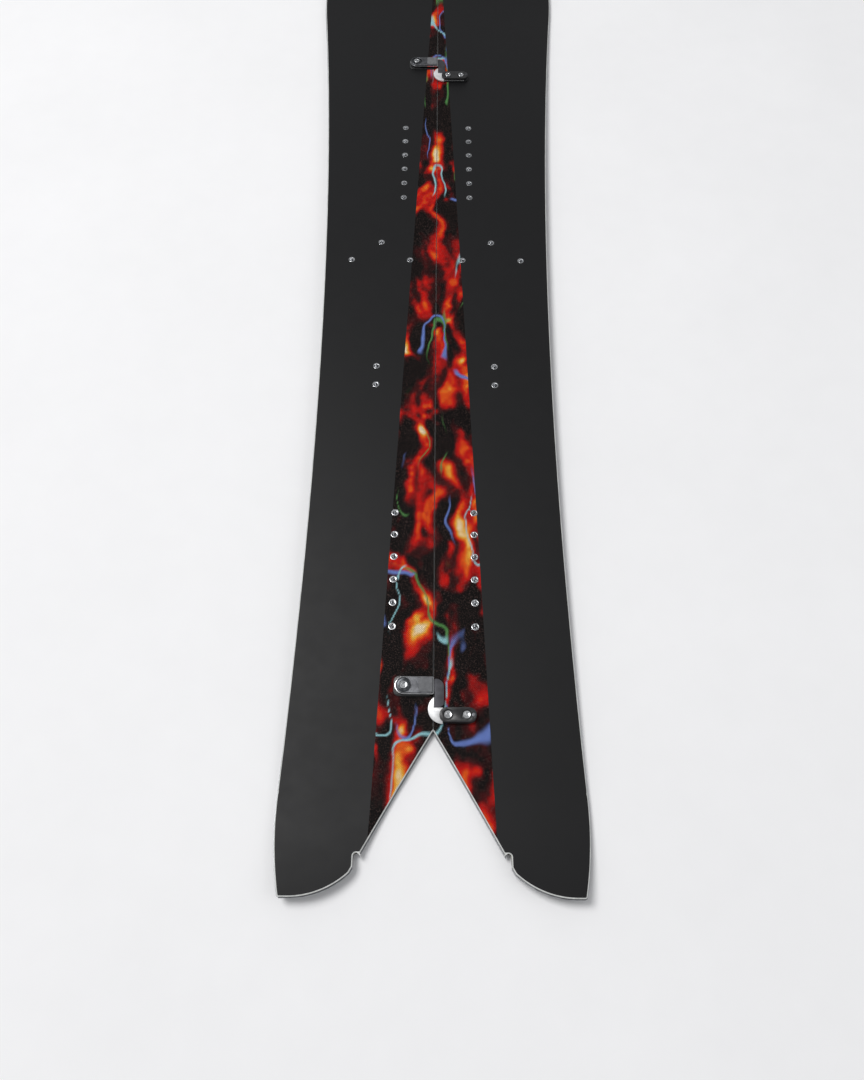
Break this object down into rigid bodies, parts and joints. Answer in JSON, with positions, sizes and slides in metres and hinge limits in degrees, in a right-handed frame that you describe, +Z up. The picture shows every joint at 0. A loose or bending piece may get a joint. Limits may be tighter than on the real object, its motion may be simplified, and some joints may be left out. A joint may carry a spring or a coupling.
{
  "type": "splitboard",
  "caption": "Swallowtail splitboard of two skis, with layered construction, threaded insert packs, a woven graphic inlay and a hook clip at tail and nose.",
  "frame": {"origin": "middle of the board's length and width, on the snow", "axes": "+Y to the nose, +Z up, +X to the right ski with the nose ahead"},
  "size_m": [0.323, 1.54, 0.0601],
  "materials": {
    "running_base": "sintered polyethylene, structure ground, waxed",
    "edge_steel": "ground hardened steel",
    "fibre_laminate": "glass fibre in clear epoxy",
    "core_wood": "vertical strips of light wood, sanded",
    "sidewall": "milled ABS, fine satin",
    "topsheet": "satin black polyamide film",
    "graphic_fabric": "printed woven cloth under clear satin coat",
    "insert_steel": "bright stainless, faced off",
    "clip_black": "glass-filled nylon, fine grain",
    "latch_steel": "stainless, bead blasted with polished edges",
    "grip": "matte moulded rubber",
    "hook_charcoal": "charcoal powder coat",
    "catch_alloy": "cast alloy, silver satin",
    "screw_steel": "bright zinc",
    "washer_steel": "dark spring steel"
  },
  "bodies": {
    "left_ski": {"left_base": "running_base", "left_steel_edge_outer": "edge_steel", "left_steel_edge_inner": "edge_steel", "left_lower_laminate": "fibre_laminate", "left_core": "core_wood", "left_sidewall_outer": "sidewall", "left_sidewall_inner": "sidewall", "left_nose_spacer": "sidewall", "left_tail_spacer": "sidewall", "left_upper_laminate": "fibre_laminate", "left_topsheet": "topsheet", "left_graphic_inlay": "graphic_fabric", "left_binding_inserts": "insert_steel", "left_bracket_inserts": "insert_steel", "left_riser_inserts": "insert_steel", "left_clip_inserts": "insert_steel", "tail_latch_base": "clip_black", "tail_latch_base_screw": "screw_steel", "tail_latch_pivot_screw": "screw_steel", "tail_latch_washer": "washer_steel", "nose_latch_base": "clip_black", "nose_latch_base_screw": "screw_steel", "nose_latch_pivot_screw": "screw_steel", "nose_latch_washer": "washer_steel"},
    "right_ski": {"right_base": "running_base", "right_steel_edge_outer": "edge_steel", "right_steel_edge_inner": "edge_steel", "right_lower_laminate": "fibre_laminate", "right_core": "core_wood", "right_sidewall_outer": "sidewall", "right_sidewall_inner": "sidewall", "right_nose_spacer": "sidewall", "right_tail_spacer": "sidewall", "right_upper_laminate": "fibre_laminate", "right_topsheet": "topsheet", "right_graphic_inlay": "graphic_fabric", "right_binding_inserts": "insert_steel", "right_bracket_inserts": "insert_steel", "right_riser_inserts": "insert_steel", "right_clip_inserts": "insert_steel", "tail_catch_base": "clip_black", "tail_catch_hook": "catch_alloy", "tail_catch_cover": "clip_black", "tail_catch_screws": "screw_steel", "tail_catch_pin": "washer_steel", "nose_catch_base": "clip_black", "nose_catch_hook": "catch_alloy", "nose_catch_cover": "clip_black", "nose_catch_screws": "screw_steel", "nose_catch_pin": "washer_steel"},
    "tail_latch": {"tail_latch_arm": "latch_steel", "tail_latch_grip": "grip", "tail_latch_hook": "hook_charcoal"},
    "nose_latch": {"nose_latch_arm": "latch_steel", "nose_latch_grip": "grip", "nose_latch_hook": "hook_charcoal"}
  },
  "joints": [
    {"name": "halves_slide", "type": "slide", "parent": "left_ski", "child": "right_ski", "axis": [0, -1, 0], "range_m": [0, 0.03]},
    {"name": "tail_latch_swing", "type": "hinge", "parent": "left_ski", "child": "tail_latch", "pos_m": [-0.0283, -0.5795, 0.00911], "axis": [0, -0.0304, 0.9995], "range_deg": [0, 90]},
    {"name": "nose_latch_swing", "type": "hinge", "parent": "left_ski", "child": "nose_latch", "pos_m": [-0.0283, 0.3, 0.00851], "axis": [0, 0.0246, 0.9997], "range_deg": [0, 90]}
  ]
}
